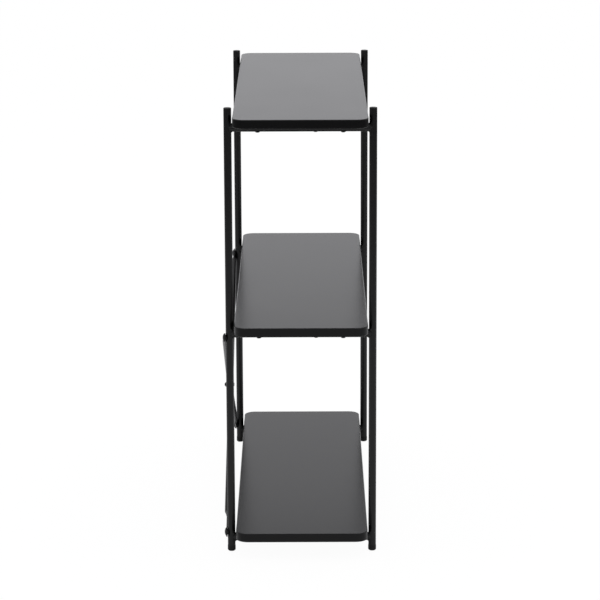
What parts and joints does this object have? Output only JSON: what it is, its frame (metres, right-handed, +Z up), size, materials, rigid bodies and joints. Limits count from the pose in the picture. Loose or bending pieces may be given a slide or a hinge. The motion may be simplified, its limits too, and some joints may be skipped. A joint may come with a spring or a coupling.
{
  "type": "shelving unit",
  "caption": "Low open shelving unit: round-cornered boards on welded tube end frames, with a crossed tube brace behind the lower bay.",
  "frame": {"origin": "on the floor, in the middle of the unit's overall box", "axes": "+Z up, X along the boards, the front towards -Y and the brace at the rear, +Y"},
  "size_m": [0.8, 0.2858, 0.823],
  "materials": {
    "board_lacquer": "satin black lacquer on board, eased edges",
    "frame_coat": "fine satin black powder coat on steel tube",
    "black_plastic": "matt black moulded plastic",
    "black_fastener": "black finished steel"
  },
  "bodies": {
    "root": {"top_shelf": "board_lacquer", "top_shelf_screws": "black_fastener", "top_shelf_locating_screws": "black_fastener", "top_left_crossbar": "frame_coat", "top_right_crossbar": "frame_coat", "middle_shelf": "board_lacquer", "middle_shelf_screws": "black_fastener", "middle_shelf_locating_screws": "black_fastener", "middle_left_crossbar": "frame_coat", "middle_right_crossbar": "frame_coat", "bottom_shelf": "board_lacquer", "bottom_shelf_screws": "black_fastener", "bottom_shelf_locating_screws": "black_fastener", "bottom_left_crossbar": "frame_coat", "bottom_right_crossbar": "frame_coat", "front_left_post": "frame_coat", "front_left_post_cap": "black_plastic", "front_left_foot_glide": "black_plastic", "front_right_post": "frame_coat", "front_right_post_cap": "black_plastic", "front_right_foot_glide": "black_plastic", "rear_left_post": "frame_coat", "rear_left_post_cap": "black_plastic", "rear_left_foot_glide": "black_plastic", "rear_right_post": "frame_coat", "rear_right_post_cap": "black_plastic", "rear_right_foot_glide": "black_plastic", "outer_brace_bar": "frame_coat", "inner_brace_bar": "frame_coat", "brace_end_bolts": "black_fastener", "brace_inserts": "black_fastener", "brace_middle_bolt": "black_fastener", "brace_middle_washers": "black_fastener", "brace_middle_nut": "black_fastener"}
  },
  "joints": []
}
